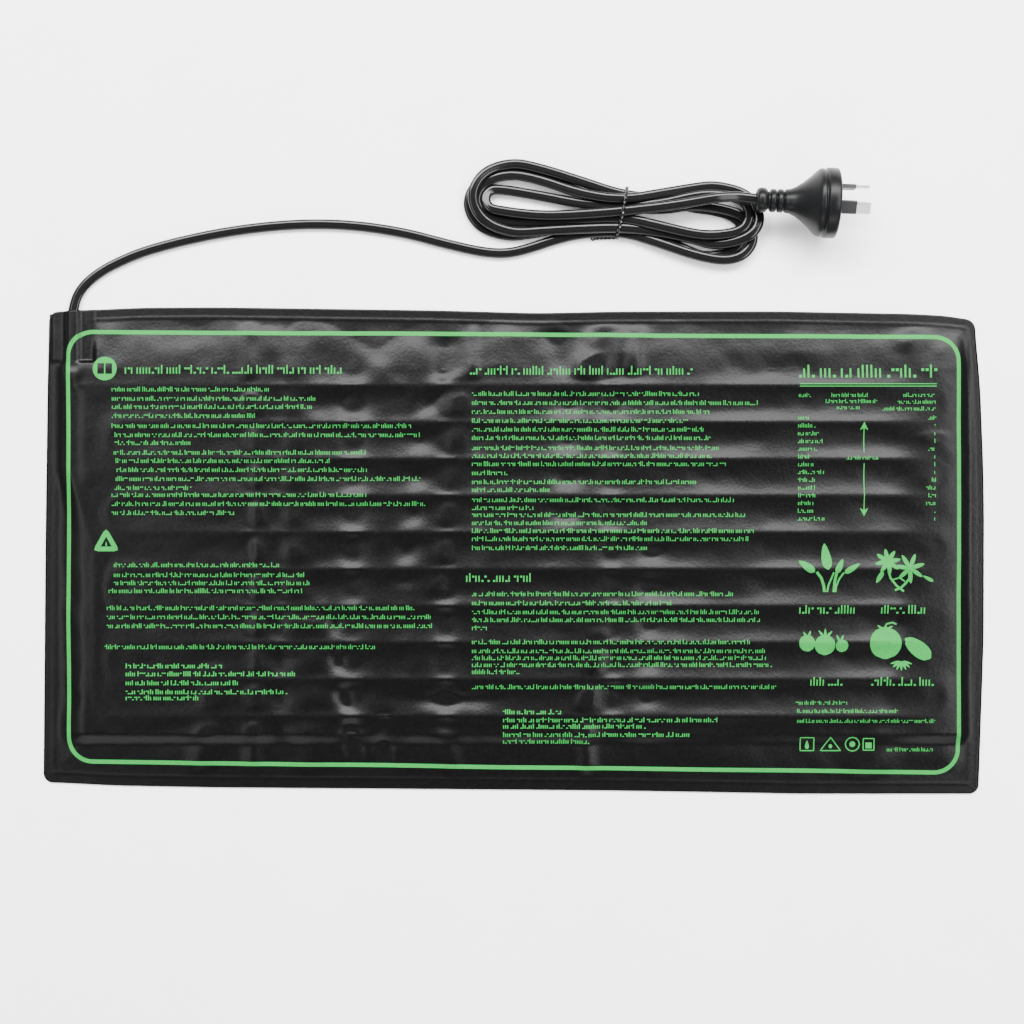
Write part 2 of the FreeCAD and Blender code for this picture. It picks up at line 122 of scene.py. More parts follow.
# Soft folds that run down the film: places (x, y) from the bottom up, half width, height.
FOLDS = [
    ([(-143, -131), (-141, -71), (-140, -27), (-140, 13), (-141, 55), (-143, 82), (-145, 131)],
     3.0, 0.55),
    ([(-122, -60), (-122, 13), (-122, 55), (-125, 93), (-132, 126)], 5.0, 0.4),
    ([(-175, -131), (-166, -93), (-162, -60)], 4.0, 0.5),
    ([(-112, -131), (-109, -93), (-108, -31)], 6.0, 0.45),
    ([(-84, -125), (-90, -96), (-96, -64), (-99, -27)], 2.6, -0.6),
    ([(-42, -30), (-36, 13), (-30, 75), (-29, 100)], 4.0, 0.5),
    ([(-60, -22), (-53, 34), (-50, 73), (-40, 93), (-37, 120)], 4.0, -0.6),
    ([(-22, 88), (-22, 131)], 2.6, 0.6),
    ([(36, 88), (47, 108), (52, 131)], 6.0, 1.2),
    ([(63, 92), (71, 131)], 3.4, 0.7),
    ([(29, 10), (30, 64), (31, 93), (20, 125)], 4.5, -0.6),
    ([(41, -131), (38, -91), (43, -69), (47, -40)], 3.0, 0.7),
    ([(72, -92), (74, 10)], 4.0, -0.4),
    ([(-75, -131), (-71, -104), (-69, -92)], 3.0, -0.6),
    ([(188, -131), (207, -92)], 7.0, 0.5),
    ([(-28, -131), (-36, -108), (-40, -95)], 3.4, 0.45),
    ([(-9, 93), (-4, 131)], 5.0, 0.35),
    ([(150, 100), (163, 131)], 6.0, 0.35),
    ([(214, 106), (224, 131)], 5.0, 0.5),
]
FOLD_DEPTH = 2.5           # every fold's height is taken this many times
FOLD_SPREAD = 1.7          # and its half width this many times
FOLD_FADE = 9.0            # length over which a fold comes and goes at its ends
# Round swellings: x, y, half widths, height.
SWELLS = [
    (-240.4, 98.0, 4.5, 5.0, 1.0), (-248.0, 91.0, 3.0, 4.0, 0.8), (-236.0, 46.0, 9.0, 22.0, 0.6),
    (-35.0, -81.0, 22.0, 4.0, -1.3), (-72.0, 95.0, 12.0, 5.0, 0.5), (228.0, 62.0, 9.0, 3.0, 0.7),
    (100.0, 16.0, 60.0, 6.0, 0.3), (-70.0, -92.0, 5.0, 4.0, -0.7), (-236.0, -60.0, 6.0, 40.0, 0.3),
]

# ---- print, in millimetres ----
INK_RISE = 0.1
INK_SINK = 0.03
BORDER_WIDTH = 2.3
BORDER_X = (-242.6, 242.3)
BORDER_TOP = (119.2, 116.4)       # at the left end and at the right end
BORDER_BOTTOM = (-115.2, -121.2)
BORDER_CORNER_R = 13.0
# Heights of the marks in each kind of line.
SMALL_X = 1.85
BOLD_X = 1.9
HEADING_X = 3.4
TITLE_X = 5.0
# Lines of marks: the place of each up the mat, its left end and its right end.
LEFT_LINES = [
    (87.7, -218.8, -132.8), (82.7, -218.8, -107.7), (78.2, -218.8, -109.9), (73.3, -218.8, -140.4),
    (67.8, -218.8, -55.5), (62.9, -217.2, -51.1), (58.6, -217.2, -175.2), (53.3, -217.7, -80.5),
    (48.8, -216.6, -99.6), (43.9, -216.1, -79.4), (39.0, -216.6, -50.6), (34.1, -217.2, -174.7),
    (30.3, -218.8, -79.4), (25.4, -218.8, -47.8), (20.5, -218.8, -151.3),
    (-7.9, -217.6, -126.8), (-13.3, -217.6, -113.7), (-17.7, -217.6, -110.4), (-22.0, -220.4, -114.8),
    (-31.3, -221.5, -53.8), (-36.2, -221.5, -44.6), (-41.1, -221.5, -42.9), (-52.5, -222.6, -75.1),
]
# The middle lines share a left end, so each has only its place and its right end.
MIDDLE_LEFT = -22.8
MIDDLE_LINES = [
    (85.3, 100.8), (80.4, 133.5), (75.5, 106.8), (70.6, 95.4), (65.9, 103.5), (61.3, 107.9),
    (55.8, 112.3), (51.5, 107.9), (47.1, 115.5), (42.2, -3.2), (37.3, 99.7), (33.0, 20.2),
    (27.5, 119.9), (23.2, 11.0), (19.4, 126.4), (15.0, 73.1), (10.7, 131.3), (6.3, 128.0), (1.4, 73.1),
    (-23.7, 119.9), (-28.6, 86.1), (-33.5, 134.6), (-37.8, 134.6), (-42.2, -13.0), (-49.8, 128.6),
    (-54.7, 136.8), (-58.5, 137.9), (-62.3, 141.1), (-66.1, 3.9), (-74.3, 142.8),
]
BOLD_LINES = [
    (-62.9, -211.2, -158.4), (-67.2, -211.2, -118.6), (-72.1, -211.2, -149.1), (-77.0, -211.2, -123.5),
    (-80.3, -211.2, -170.9),
    (-87.9, -5.9, 25.7), (-92.3, -5.9, 111.2), (-95.8, -5.9, 71.4), (-100.4, -5.9, 95.9),
    (-104.2, -5.9, 42.6),
]
HEADINGS = [
    (98.3, -211.7, -90.8), (97.8, -23.9, 98.1), (-15.0, -26.0, 10.4),
    (-32.3, 155.3, 185.8), (-32.3, 199.9, 225.5), (-71.5, 161.3, 179.8), (-71.5, 194.5, 229.3),
]
TITLE_LINE = (97.2, 155.3, 230.4)
RIGHT_LINES = [
    (84.6, 155.3, 162.9), (84.6, 173.0, 193.0), (81.3, 170.0, 198.0), (77.9, 176.0, 189.0),
    (84.6, 212.0, 229.9), (80.9, 209.0, 229.9), (77.2, 201.0, 229.9),
    (50.5, 181.0, 199.0),
    (-83.0, 153.6, 182.0), (-87.4, 154.2, 209.7), (-92.8, 154.2, 229.3), (-108.6, 203.2, 228.8),
]
# The table's rows: how wide the marks are at its left and at its right.
TABLE_TOP = 72.2
TABLE_PITCH = 4.22
TABLE_LEFT = 154.7
TABLE_RIGHT = 229.9
TABLE_WIDTHS = (7.1, 9.8, 11.4, 14.2, 10.9, 8.2, 8.7, 14.7, 9.3, 9.8, 9.8, 8.7, 8.7, 15.2)
TABLE_VALUES = (4.4, 1.2, 1.2, 1.2, 4.4, 1.2, 1.2, 1.2, 2.6, 5.6, 4.4, 5.6, 1.2, 1.2)

# ---- lead ----
CORD_W = 5.5 * MM
CORD_T = 3.2 * MM
OVAL_POWER = 0.8
GROOVE = 0.07
# The lead's route, in millimetres; the first points repeat the part's own route.
LEAD_ROUTE = [
    (-240.55, 129.0, 2.0), (-239.4, 136.3, 1.9), (-235.6, 143.3, 1.7), (-229.4, 149.3, 1.65),
    (-219.5, 155.7, 1.65), (-199.5, 164.3, 1.65), (-162.0, 173.2, 1.65), (-125.0, 177.9, 1.65),
    (-93.0, 178.1, 1.65), (-62.0, 174.0, 1.65), (-36.0, 167.0, 1.65), (-17.0, 162.7, 1.65),
    (-4.0, 161.9, 1.65), (8.0, 164.6, 1.65), (22.0, 169.4, 1.65), (36.0, 172.9, 1.8),
]
# The hank is nine passes through the tie, joined by end loops, right and left by turns.
# Each pass has its place across and its height at five stations along it.
STATION_X = [14.2, 36.0, 58.8, 80.0, 98.0]
PASS_Y = [
    (None, None, 174.1, 167.1, 160.7),
    (205.3, 195.5, 187.4, 185.3, 188.1),
    (173.5, 178.2, 179.8, 171.5, 161.9),
    (208.0, 201.1, 193.3, 191.8, 186.6),
    (173.8, 175.0, 175.7, 173.1, 169.4),
    (201.8, 193.9, 190.1, 194.0, 197.3),
    (179.3, 180.4, 181.2, 175.8, 171.6),
    (193.4, 188.7, 186.8, 188.4, 192.6),
    (181.8, 182.3, 183.9, None, None),
]
PASS_Z = [
    (None, None, 2.35, 4.4, 4.9),
    (1.65, 1.65, 2.35, 3.8, 4.9),
    (1.65, 1.65, 2.35, 1.65, 1.65),
    (4.9, 4.9, 5.4, 1.7, 1.65),
    (4.9, 5.3, 5.9, 5.4, 4.9),
    (4.9, 6.6, 8.6, 6.5, 4.9),
    (3.0, 4.9, 6.3, 8.7, 8.1),
    (2.7, 4.2, 5.2, 6.5, 7.6),
    (6.1, 8.4, 9.5, None, None),
]
# An end loop: its middle, how far it reaches along X, how far the side laid first and the side
# laid last stand from the middle, how square it is, and the height at five places round it.
LOOPS = [
    (115.4, 170.5, 14.7, 12.2, 14.1, 1.0, (4.9, 4.7, 4.3, 4.9, 4.9)),
    (-3.2, 189.3, 21.5, 17.1, 17.1, 1.0, (1.65, 1.65, 1.65, 1.65, 1.65)),
    (107.7, 172.7, 17.9, 11.7, 12.2, 1.0, (1.65, 1.65, 1.65, 1.65, 1.65)),
    (-1.0, 192.1, 21.2, 17.7, 18.0, 1.0, (4.9, 7.4, 8.3, 7.6, 4.9)),
    (109.9, 180.3, 23.1, 13.6, 17.1, 1.04, (4.9, 8.2, 6.9, 4.9, 4.9)),
    (-2.1, 191.2, 18.2, 12.8, 11.3, 1.0, (4.9, 4.9, 4.9, 2.5, 1.8)),
    (109.4, 181.9, 17.9, 10.2, 10.7, 1.1, (8.1, 8.1, 8.1, 7.8, 7.6)),
    (-9.5, 191.2, 5.9, 5.6, 5.9, 1.0, (3.0, 3.7, 4.6, 5.4, 5.8)),
]
TAIL_ROUTE = [
    (70.0, 185.0, 10.5), (80.0, 186.0, 11.3), (92.0, 187.7, 11.5), (103.0, 189.6, 11.7),
    (112.0, 190.6, 14.0), (120.0, 190.4, 17.4), (126.0, 189.4, 18.8), (134.0, 188.4, 18.8),
]
OUTSIDE = 1.08             # a control point on a round bend lies this much outside its curve

# ---- twist tie, in millimetres ----
TIE_CENTRE = (58.9, 184.0)
TIE_LEAN = 11.4            # degrees that its upright plane is turned from the mat's Y
# The loop's places in that plane: how far out from the centre, and the height.
TIE_LOOP = [
    (-12.9, 0.45), (-6.0, 0.4), (0.0, 0.4), (6.0, 0.4), (12.4, 0.5), (14.1, 2.6), (13.0, 6.2),
    (9.4, 8.6), (7.6, 10.9), (2.6, 12.1), (-1.6, 11.9), (-4.0, 9.9), (-9.0, 8.6), (-12.9, 6.2),
    (-14.3, 2.8),
]
TIE_HALF_W = 1.0
TIE_HALF_T = 0.35
TIE_TWIST = 5.5            # length of one turn of the twist
TIE_FLAT_BELOW = 1.0       # the loop lies flat along the floor under this height
TIE_TAIL_FROM = (56.6, 170.6)
TIE_TAIL_LENGTH = 14.5
TAIL_TURN = 4.4            # length in which the tail's two strands go once round each other
TAIL_STEPS = 60
TAIL_Z = 0.8
STRAND_R = 0.38
STRAND_OUT = 0.36          # how far each strand's middle stands from the tail's
TAIL_SPLAY = 0.8           # how much further apart they end

# ---- plug, in millimetres and degrees ----
PLUG_ENTRY = (129.8, 188.4)
PLUG_YAW = -2.5
PLUG_AXIS_Z = 18.8
# Distance along its axis and radius.
PLUG_PROFILE = [
    (0.0, 3.3), (0.0, 4.6), (0.5, 5.8), (1.4, 6.5), (2.6, 6.8), (3.8, 6.75), (5.0, 6.4), (5.9, 5.7),
    (6.2, 4.9), (7.2, 4.8), (7.4, 5.6), (7.8, 6.1), (9.1, 6.3), (10.3, 6.1), (10.7, 5.6), (10.8, 4.8),
    (11.3, 4.8), (11.4, 5.7), (11.8, 6.2), (13.0, 6.35), (14.1, 6.2), (14.5, 5.7), (14.6, 5.1),
    (15.1, 5.1), (15.2, 5.9), (15.6, 6.25), (18.0, 6.6), (21.0, 7.9), (25.0, 10.6), (29.0, 14.0),
    (31.6, 16.6), (32.8, 17.7), (33.6, 18.1), (35.2, 18.2), (35.5, 17.9), (35.6, 17.5), (36.2, 17.5),
    (36.4, 18.0), (36.9, 18.5), (37.4, 18.75), (40.0, 18.75), (42.2, 18.72), (42.9, 18.4), (43.3, 17.8),
    (43.4, 17.0), (43.4, 14.9), (43.0, 14.7), (43.0, 14.5), (43.4, 14.3), (43.4, 8.0),
]
PLUG_STEPS = 96

# ---- light: name, place, size in metres, radiance ----
LIGHT_AIM = (0, 0.03, 0)
LIGHTS = [
    ("key", (0.0, 1.31, 1.6), (3.0, 0.83), 34.0),
    ("front", (0.0, -1.8, 1.0), (2.5, 0.8), 6.0),
    ("left", (-1.05, 0.1, 1.6), (1.4, 0.45), 8.0),
    ("right", (1.05, 0.1, 1.6), (1.4, 0.45), 17.0),
]
WORLD_STRENGTH = 0.38
FLOOR_HALF = 3.0


def ramp(value, low, high):
    """0 below low, 1 above high, and smooth between them."""
    share = np.clip((value - low) / (high - low), 0.0, 1.0)
    return share * share * (3 - 2 * share)


# ---- meshes ----

def mesh_object(name, points, faces, smooth=True):
    mesh = bpy.data.meshes.new(name)
    mesh.from_pydata([tuple(p) for p in points], [], [tuple(f) for f in faces])
    mesh.validate()
    mesh.update()
    mesh.polygons.foreach_set("use_smooth", [smooth] * len(mesh.polygons))
    piece = bpy.data.objects.new(name, mesh)
    bpy.context.scene.collection.objects.link(piece)
    return piece


def face_outwards(piece):
    fix = bmesh.new()
    fix.from_mesh(piece.data)
    bmesh.ops.recalc_face_normals(fix, faces=fix.faces)
    fix.to_mesh(piece.data)
    fix.free()


def shell(x, y, top, bottom):
    """Points and faces of a closed sheet between two heights over one grid of plan points."""
    rows, columns = x.shape
    upper = np.stack([x, y, top], -1).reshape(-1, 3)
    lower = np.stack([x, y, bottom], -1).reshape(-1, 3)
    index = np.arange(rows * columns).reshape(rows, columns)
    quads = np.stack([index[:-1, :-1], index[:-1, 1:], index[1:, 1:], index[1:, :-1]], -1).reshape(-1, 4)
    rim = np.concatenate([index[0, :-1], index[:-1, -1], index[-1, :0:-1], index[:0:-1, 0]])
    turn = np.roll(rim, -1)
    count = len(upper)
    walls = np.stack([turn, rim, rim + count, turn + count], -1)
    return np.concatenate([upper, lower]), np.concatenate([quads, quads[:, ::-1] + count, walls])


def ring_faces(rings, count):
    """Faces that join rings of count points each into a tube, with both ends closed."""
    faces = []
    for base in range(0, (rings - 1) * count, count):
        for k in range(count):
            n = (k + 1) % count
            faces.append((base + k, base + n, base + count + n, base + count + k))
    faces.append(tuple(range(count)))
    faces.append(tuple(range((rings - 1) * count, rings * count))[::-1])
    return faces


def sheet_object(name, x, y, top, bottom):
    points, faces = shell(x, y, top, bottom)
    return mesh_object(name, points * MM, faces)


def dress(piece, material, slot, *replaced):
    piece.data.materials.append(material)
    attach(piece, "root")
    if replaced:
        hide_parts(*replaced)


# ---- materials ----

def finish(name, dark, light, roughness, metallic=0.0, grain=900.0, relief=0.1,
           stretch=(1, 1, 1), specular=0.5):
    """Two tones mixed by noise, with an uneven polish and a fine bump; grain is per metre."""
    made = bpy.data.materials.new(name)
    made.use_nodes = True
    nodes = made.node_tree.nodes
    links = made.node_tree.links
    shader = nodes["Principled BSDF"]
    shader.inputs["Metallic"].default_value = metallic
    shader.inputs["Specular IOR Level"].default_value = specular
    place = nodes.new("ShaderNodeTexCoord")
    spread = nodes.new("ShaderNodeMapping")
    spread.inputs["Scale"].default_value = stretch
    speckle = nodes.new("ShaderNodeTexNoise")
    speckle.inputs["Scale"].default_value = grain
    speckle.inputs["Detail"].default_value = 5.0
    tone = nodes.new("ShaderNodeValToRGB")
    tone.color_ramp.elements[0].position = 0.3
    tone.color_ramp.elements[1].position = 0.7
    tone.color_ramp.elements[0].color = (*dark, 1.0)
    tone.color_ramp.elements[1].color = (*light, 1.0)
    polish = nodes.new("ShaderNodeMapRange")
    polish.inputs["To Min"].default_value = roughness * 0.85
    polish.inputs["To Max"].default_value = min(1.0, roughness * 1.15)
    bump = nodes.new("ShaderNodeBump")
    bump.inputs["Strength"].default_value = relief
    bump.inputs["Distance"].default_value = 0.2 * MM
    links.new(place.outputs["Object"], spread.inputs["Vector"])
    links.new(spread.outputs["Vector"], speckle.inputs["Vector"])
    for target in (tone.inputs["Fac"], polish.inputs["Value"], bump.inputs["Height"]):
        links.new(speckle.outputs["Fac"], target)
    links.new(tone.outputs["Color"], shader.inputs["Base Color"])
    links.new(polish.outputs["Result"], shader.inputs["Roughness"])
    links.new(bump.outputs["Normal"], shader.inputs["Normal"])
    return made


def make_finishes():
    return {
        "film": finish("black_film", (0.0008, 0.0008, 0.0009), (0.0014, 0.0014, 0.0016), 0.34,
                       grain=560, relief=0.5, specular=0.13),
        "cord": finish("cord_jacket", (0.0028, 0.0028, 0.0030), (0.0044, 0.0044, 0.0047), 0.15,
                       grain=1500, relief=0.04, specular=0.24),
        "felt": finish("grey_felt", (0.16, 0.16, 0.17), (0.34, 0.34, 0.35), 0.95,
                       grain=1400, relief=0.8),
        "foil": finish("foil", (0.72, 0.72, 0.74), (0.86, 0.86, 0.87), 0.25, 1.0,
                       grain=260, relief=0.5),
        "heater": finish("heater_silicone", (0.42, 0.06, 0.04), (0.52, 0.09, 0.06), 0.5, grain=1200),
        "tape": finish("tape_film", (0.55, 0.43, 0.16), (0.66, 0.53, 0.24), 0.3,
                       grain=500, relief=0.2),
        "live": finish("live_insulation", (0.20, 0.07, 0.03), (0.26, 0.10, 0.05), 0.4, grain=1300),
        "neutral": finish("neutral_insulation", (0.04, 0.10, 0.42), (0.06, 0.14, 0.50), 0.4,
                          grain=1300),
        "crimp": finish("crimp_metal", (0.50, 0.48, 0.44), (0.66, 0.64, 0.60), 0.35, 1.0,
                        grain=1800, relief=0.2),
        "sleeve": finish("shrink_sleeve", (0.02, 0.02, 0.022), (0.035, 0.035, 0.038), 0.45,
                         grain=1500, relief=0.25),
        "ink": finish("green_ink", (0.009, 0.155, 0.024), (0.013, 0.195, 0.034), 0.6,
                      relief=0.15, specular=0.12),
        "tie": finish("tie_plastic", (0.0015, 0.0015, 0.0017), (0.0026, 0.0026, 0.0028), 0.25,
                      grain=1500, relief=0.2, specular=0.4),
        "plug": finish("plug_pvc", (0.0030, 0.0031, 0.0034), (0.0046, 0.0047, 0.0051), 0.33,
                       grain=1600, relief=0.08, specular=0.12),
        "bridge": finish("bridge_plastic", (0.022, 0.022, 0.024), (0.032, 0.032, 0.035), 0.5,
                         grain=1100, relief=0.2),
        "pin": finish("pin_metal", (0.74, 0.74, 0.73), (0.90, 0.90, 0.89), 0.22, 1.0,
                      grain=700, stretch=(0.1, 1, 1)),
        "pin_sleeve": finish("pin_sleeve_plastic", (0.010, 0.010, 0.011), (0.014, 0.014, 0.015), 0.4,
                             grain=1400, specular=0.3),
    }


CAD_FINISHES = {
    "cord_root": "cord", "base_felt": "felt", "spreader_foil": "foil", "heating_wire": "heater",
    "live_core": "live", "plug_core_live": "live",
    "neutral_core": "neutral", "plug_core_neutral": "neutral",
    "live_crimp": "crimp", "neutral_crimp": "crimp",
    "pin_crimp_live": "crimp", "pin_crimp_neutral": "crimp",
    "live_sleeve": "sleeve", "neutral_sleeve": "sleeve", "plug_bridge": "bridge",
    "plug_pin_live": "pin", "plug_pin_neutral": "pin",
    "pin_sleeve_live": "pin_sleeve", "pin_sleeve_neutral": "pin_sleeve",
}


def dress_cad(finishes):
    for node, name in CAD_FINISHES.items():
        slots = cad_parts[node].data.materials
        slots.clear()
        slots.append(finishes[name])


# ---- the film's relief ----

def along(edge, at):
    """An edge's place at these positions along it, with its corners eased."""
    places, values = zip(*edge)
    return sum(np.interp(at + step, places, values) for step in (-8, -4, 0, 4, 8)) / 5


def noise(x, y, cell, seed):
    """Smooth noise, mostly between -1 and 1, with features about a cell wide."""
    wave = np.random.default_rng(seed)
    total = np.zeros_like(x)
    for _ in range(14):
        heading = wave.uniform(0, 2 * math.pi)
        rate = 2 * math.pi / (cell * wave.uniform(0.8, 2.2))
        phase = wave.uniform(0, 2 * math.pi)
        total += np.sin(rate * (x * math.cos(heading) + y * math.sin(heading)) + phase)
    return total / 5.0


def wire_path():
    """The heating wire's course under the film, from the neutral splice round to the live one."""
    course = [(ENTRY_X + CORE_APART, RUNS_Y[0] + 8), (ENTRY_X + 2 * CORE_APART, RUNS_Y[0]),
              (RUN_LEFT, RUNS_Y[0])]
    for run, y in enumerate(RUNS_Y[:-1]):
        right = run % 2 == 0
        turn_x = RUN_RIGHT if right else RUN_LEFT
        way = 1 if right else -1
        for step in range(9):
            angle = math.pi * (0.5 - step / 8)
            course.append((turn_x + way * RUN_TURN_R * math.cos(angle),
                           y - RUN_TURN_R + RUN_TURN_R * math.sin(angle)))
    return course + [(RETURN_X + 6, RUNS_Y[-1]), (RETURN_X, RUNS_Y[-1] + 6), (RETURN_X, 0.0),
                     (ENTRY_X - CORE_APART, 45.0), (ENTRY_X - CORE_APART, 98.0)]


def wire_distance(x, y):
    """How far each point lies from the heating wire."""
    nearest = np.full_like(x, 1e3)
    course = wire_path()
    for (ax, ay), (bx, by) in zip(course, course[1:]):
        run_x, run_y = bx - ax, by - ay
        share = ((x - ax) * run_x + (y - ay) * run_y) / (run_x ** 2 + run_y ** 2 + 1e-9)
        share = np.clip(share, 0.0, 1.0)
        nearest = np.minimum(nearest, np.hypot(x - ax - share * run_x, y - ay - share * run_y))
    return nearest


def fold(x, y, path, width, height):
    """The rise of one soft fold that runs along a path."""
    xs, ys = zip(*path)
    centre = np.interp(y, ys, xs)
    fade = ramp(y, ys[0], ys[0] + FOLD_FADE) * (1 - ramp(y, ys[-1] - FOLD_FADE, ys[-1]))
    return height * fade * np.exp(-((x - centre) / width) ** 2)


def inset(x, y):
    """How far in from the film's edge a point lies."""
    across = np.minimum(x - along(EDGE_LEFT, y), along(EDGE_RIGHT, y) - x)
    return np.minimum(across, np.minimum(y - along(EDGE_BOTTOM, x), along(EDGE_TOP, x) - y))


def within(x, y, x_range, y_range, soft):
    """1 inside a rectangle, 0 outside it, and smooth over the soft width beyond its sides."""
    return (ramp(x, x_range[0] - soft, x_range[0]) * (1 - ramp(x, x_range[1], x_range[1] + soft))
            * ramp(y, y_range[0] - soft, y_range[0]) * (1 - ramp(y, y_range[1], y_range[1] + soft)))


def soft_columns(x, table):
    """The sum of soft columns, each given as its x, half width and share."""
    return sum(share * np.exp(-((x - middle) / half) ** 2) for middle, half, share in table)


def pad_share(x, y):
    """1 over the pad, falling to 0 down the slopes round it."""
    tucked = soft_columns(x, TUCKED) + 0.3 * ramp(x, 80, 110) + 0.2 * noise(x, y, 40, 11)
    tucked = np.clip(tucked, 0, 1)
    slope = TENT_LONG - (TENT_LONG - TENT_SHORT) * tucked
    even = np.clip(1 - (y - PAD_Y[1]) / slope, 0, 1)
    tent = even + tucked * (1 - ramp(y, PAD_Y[1], PAD_Y[1] + slope) - even)
    sides = ramp(x, PAD_X[0] - LEFT_SLOPE, PAD_X[0]) * (1 - ramp(x, PAD_X[1], PAD_X[1] + RIGHT_SLOPE))
    return sides * ramp(y, PAD_Y[0] - FOOT_SLOPE, PAD_Y[0]) * tent


def tautness(x, y):
    """How much higher than at its lowest the film runs between the wires."""
    hang = np.interp(x, *zip(*HANG)) * (1 - ramp(x, 200, 228))
    hang = (hang + soft_columns(x, DRAWN)) * (1 + 0.4 * noise(x, y, 55, 10))
    return MAX_TAUT * (1 - np.clip(hang, 0.0, 1.0))


def crest_share(x, y, taped):
    """1 over a wire, falling to 0 where its ridge dies away, which is sooner under tape."""
    away = np.sqrt(wire_distance(x, y) ** 2 + 0.8) - CREST_ROUND
    return np.clip(1 - away / (CREST_REACH - TAPED_REACH * taped), 0.0, 1.0) ** 2


def over_entry(x, y, height):
    """The same height, pressed flat over the entry plate and raised over the lead in it."""
    plate = within(x, y, (PLATE_X[0] + 2, PLATE_X[1] - 1.5), (PLATE_Y[0] + 1.5, PLATE_Y[1] + 9), 2.0)
    height = height + plate * (PLATE_Z + 0.08 * noise(x, y, 14, 8) - height)
    side = np.abs(np.abs(x - ENTRY_X) - LOBE_APART)
    lobes = np.exp(-(side / LOBE_HALF) ** 3) * ramp(y, *LOBE_START)
    groove = GROOVE_DEPTH * np.exp(-((x - ENTRY_X) / GROOVE_HALF) ** 2)
    return height + lobes * (LEAD_TOP_Z - groove - height)


def film_height(x, y):
    """Height of the top film's upper face."""
    x, y = np.asarray(x, float), np.asarray(y, float)
    depth = inset(x, y)
    loose = ramp(depth, WELD_IN, WELD_IN + 9)
    pad = pad_share(x, y)
    taped = sum(np.exp(-((x - tape) / TAPE_HALF) ** 4) for tape in TAPE_X)
    crest = crest_share(x, y, taped)
    slack = loose * (1 - crest)
    height = WELD_Z + MARGIN_RISE * ramp(depth, WELD_IN, 24) + (PAD_RISE + tautness(x, y)) * pad
    for path, width, rise in FOLDS:
        height += slack * fold(x, y, path, FOLD_SPREAD * width, FOLD_DEPTH * rise)
    height += slack * (0.28 * noise(x, y, 34, 5) + 0.10 * noise(x, y, 13, 6) + 0.22 * taped * pad)
    height += crest * (CREST_Z - height)
    for swell_x, swell_y, half_x, half_y, rise in SWELLS:
        height += rise * loose * np.exp(-((x - swell_x) / half_x) ** 2 - ((y - swell_y) / half_y) ** 2)
    height += WELD_BEAD * np.exp(-((depth - WELD_IN) / WELD_BEAD_HALF) ** 2)
    height += 0.03 * (1 - loose) * (1 + noise(x, y, 18, 7))
    least = np.maximum(WELD_Z, (PAD_TOP + TAPE_T + COVER_T + FILM_T + CLEARANCE) * np.floor(pad))
    height = np.clip(height, least + (CREST_Z - least) * crest ** 4, CREST_Z + CREST_SLACK)
    return over_entry(x, y, height)


def film_grid(columns, rows):
    """Rows of points that fill the film's outline, with its corners rounded."""
    x, y = np.meshgrid(np.linspace(-HALF_X, HALF_X, columns), np.linspace(-HALF_Y, HALF_Y, rows))
    a = np.clip((np.abs(x) - HALF_X + FILM_CORNER_R) / FILM_CORNER_R, 0, 1)
    b = np.clip((np.abs(y) - HALF_Y + FILM_CORNER_R) / FILM_CORNER_R, 0, 1)
    x = x - np.sign(x) * FILM_CORNER_R * a * (1 - np.sqrt(1 - b * b / 2))
    y = y - np.sign(y) * FILM_CORNER_R * b * (1 - np.sqrt(1 - a * a / 2))
    left, right = along(EDGE_LEFT, y), along(EDGE_RIGHT, y)
    low, high = along(EDGE_BOTTOM, x), along(EDGE_TOP, x)
    plan_x = left + (x + HALF_X) / (2 * HALF_X) * (right - left)
    return plan_x, low + (y + HALF_Y) / (2 * HALF_Y) * (high - low)


def add_films(film_finish):
    x, y = film_grid(400, 330)
    top = film_height(x, y)
    upper = sheet_object("film_top", x, y, top, top - FILM_T)
    dress(upper, film_finish, "black_film", "top_film")
    x, y = film_grid(160, 90)
    lower = sheet_object("film_bottom", x, y, np.full_like(x, FILM_T), np.zeros_like(x))
    dress(lower, film_finish, "black_film", "bottom_film")


def add_entry_plate(film_finish):
    """The fused film round the lead, under the top film, with the lead's own way through."""
    sides = [ENTRY_X - 2.9, ENTRY_X - 2.8, ENTRY_X + 2.8, ENTRY_X + 2.9]
    x, y = np.meshgrid(sorted([*np.linspace(*PLATE_X, 40), *sides]), np.linspace(*PLATE_Y, 30))
    top = film_height(x, y) - FILM_T - 0.02
    bottom = np.where(np.abs(x - ENTRY_X) < 2.85, LEAD_TOP_Z - FILM_T - 0.13, FILM_T + 0.02)
    plate = sheet_object("entry_plate", x, y, np.maximum(top, bottom + 0.05), bottom)
    dress(plate, film_finish, "black_film", "entry_block")


def under_film(x, y):
    return film_height(x, y) - FILM_T - 0.01


def add_inner_cover(finishes):
    """The fleece under the top film, notched round the splices, and the tapes that hold the wire."""
    x, y = np.meshgrid(np.linspace(PAD_X[0] + 0.5, PAD_X[1] - 0.5, 240),
                       np.linspace(PAD_Y[0] + 0.5, PAD_Y[1] - 0.5, 200))
    x = np.where(y > PAD_NOTCH[1], np.maximum(x, PAD_NOTCH[0]), x)
    top = under_film(x, y)
    fleece = sheet_object("inner_fleece", x, y, top, top - COVER_T)
    dress(fleece, finishes["felt"], "grey_felt", "cover_fleece")
    for number, tape_x in enumerate(TAPE_X, 1):
        x, y = np.meshgrid(np.linspace(tape_x - TAPE_HALF, tape_x + TAPE_HALF, 8),
                           np.linspace(PAD_Y[0] + 2, PAD_Y[1] - 2, 200))
        top = under_film(x, y) - COVER_T - 0.01
        tape = sheet_object("inner_tape_%d" % number, x, y, top, top - TAPE_T)
        dress(tape, finishes["tape"], "tape_film", "wire_tape_%d" % number)


# ---- the print ----

